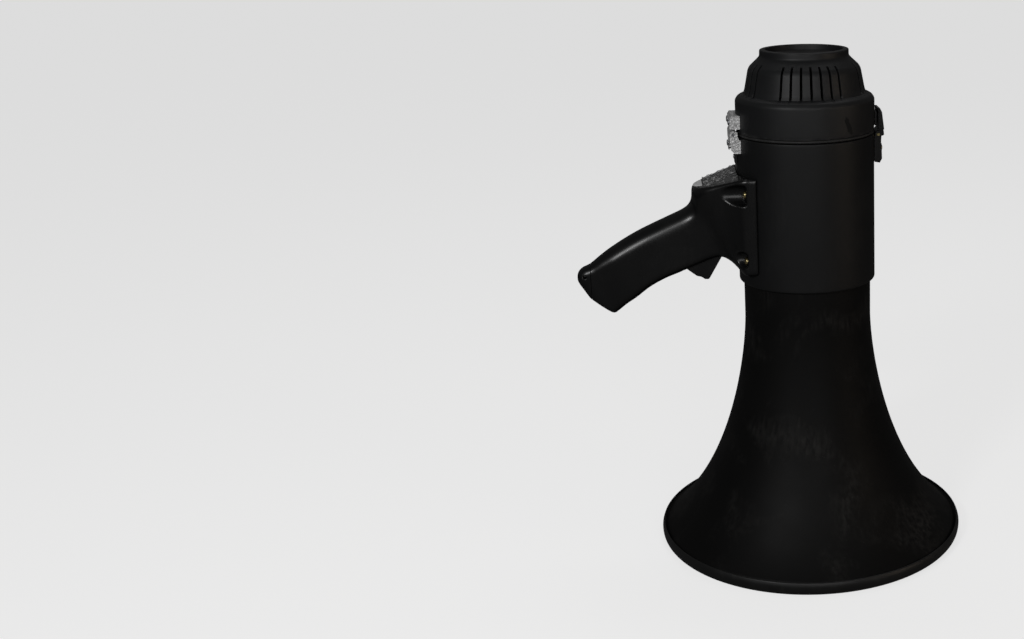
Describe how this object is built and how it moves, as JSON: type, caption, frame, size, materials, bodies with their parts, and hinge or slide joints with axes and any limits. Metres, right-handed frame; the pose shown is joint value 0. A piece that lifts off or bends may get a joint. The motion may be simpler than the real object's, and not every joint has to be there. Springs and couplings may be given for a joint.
{
  "type": "handheld megaphone",
  "caption": "Handheld megaphone with a flared bell, re-entrant reflector, cylindrical body, pistol grip with trigger, and a hinged, vented rear cap with a microphone collar.",
  "frame": {"origin": "centre of the bell's mouth, in the plane that the rim stands on", "axes": "+Z along the bell's axis from the mouth to the microphone end; -X towards the pistol grip; +X towards the latch; +Y completes a right-handed frame"},
  "size_m": [0.28, 0.23, 0.368],
  "materials": {
    "shell_plastic": "fine matte moulded grain, black",
    "grip_plastic": "satin moulded black",
    "rim_rubber": "satin black rubber with fine ridges",
    "nose_plastic": "satin dark grey",
    "cast_metal": "rough cast, unpainted",
    "steel": "bright zinc plate",
    "brass": "yellow passivated",
    "panel_plastic": "dark grey",
    "panel_end_plastic": "light grey",
    "film": "thin clear protective film, wrinkled",
    "magnet": "grey ferrite",
    "cone": "resin-impregnated",
    "copper": "enamelled winding",
    "board": "solder mask",
    "component": "component body",
    "sheet_metal": "plain",
    "cell": "plain wrapped cell",
    "gasket": "soft rubber",
    "mic_cloth": "acoustic cloth"
  },
  "bodies": {
    "main": {"bell": "shell_plastic", "bell_rim": "rim_rubber", "reflector": "nose_plastic", "reflector_disc": "nose_plastic", "throat_tube": "shell_plastic", "reflector_screws": "steel", "driver_frame": "component", "driver_diaphragm": "cone", "voice_coil": "copper", "driver_top_plate": "steel", "driver_magnet": "magnet", "driver_pole": "steel", "body_shell": "shell_plastic", "body_screws": "steel", "circuit_board": "board", "board_spacers": "brass", "board_screws": "steel", "transformer": "sheet_metal", "capacitors": "component", "heat_sink": "sheet_metal", "battery_tray": "component", "batteries": "cell", "battery_springs": "steel", "battery_contacts": "brass", "hinge_body_leaf": "cast_metal", "hinge_pin": "steel", "hinge_body_screws": "steel", "latch_base": "shell_plastic", "latch_pin": "brass", "latch_rivets": "brass", "strap_plate": "shell_plastic", "strap_rivet": "steel", "grip_left": "grip_plastic", "grip_right": "grip_plastic", "grip_screws": "steel", "saddle_screws": "brass", "butt_cap": "grip_plastic", "trigger_pin": "steel", "trigger_spring": "steel", "trigger_switch": "component", "control_panel": "panel_plastic", "panel_end": "panel_end_plastic", "volume_pot": "sheet_metal", "protective_film": "film"},
    "rear_cap": {"rear_cap": "shell_plastic", "cap_seal": "gasket", "mic_cover": "mic_cloth", "mic_mount": "gasket", "mic_capsule": "steel", "hinge_cap_leaf": "cast_metal", "hinge_cap_screws": "steel", "latch_keeper": "shell_plastic"},
    "latch_lever": {"latch_lever": "grip_plastic"},
    "trigger": {"trigger": "grip_plastic"},
    "volume_wheel": {"volume_wheel": "component"},
    "mode_switch": {"mode_switch": "panel_end_plastic"}
  },
  "joints": [
    {"name": "cap_hinge", "type": "hinge", "parent": "main", "child": "rear_cap", "pos_m": [-0.0522, 0, 0.311], "axis": [0, -1, 0], "range_deg": [0, 105]},
    {"name": "latch_pivot", "type": "hinge", "parent": "main", "child": "latch_lever", "pos_m": [0.0517, 0, 0.3068], "axis": [0, 1, 0], "range_deg": [0, 100]},
    {"name": "trigger_pivot", "type": "hinge", "parent": "main", "child": "trigger", "pos_m": [-0.0645, 0, 0.227], "axis": [0, 1, 0], "range_deg": [0, 8], "stiffness_Nm_per_rad": 0.4, "springref_deg": -8.59, "deforming": ["trigger_spring"]},
    {"name": "volume_turn", "type": "hinge", "parent": "main", "child": "volume_wheel", "pos_m": [-0.062, 0.0068, 0.2702], "axis": [0, 1, 0], "range_deg": [0, 280]},
    {"name": "mode_slide", "type": "slide", "parent": "main", "child": "mode_switch", "axis": [-0.9659, 0, -0.2588], "range_m": [0, 0.003]}
  ]
}
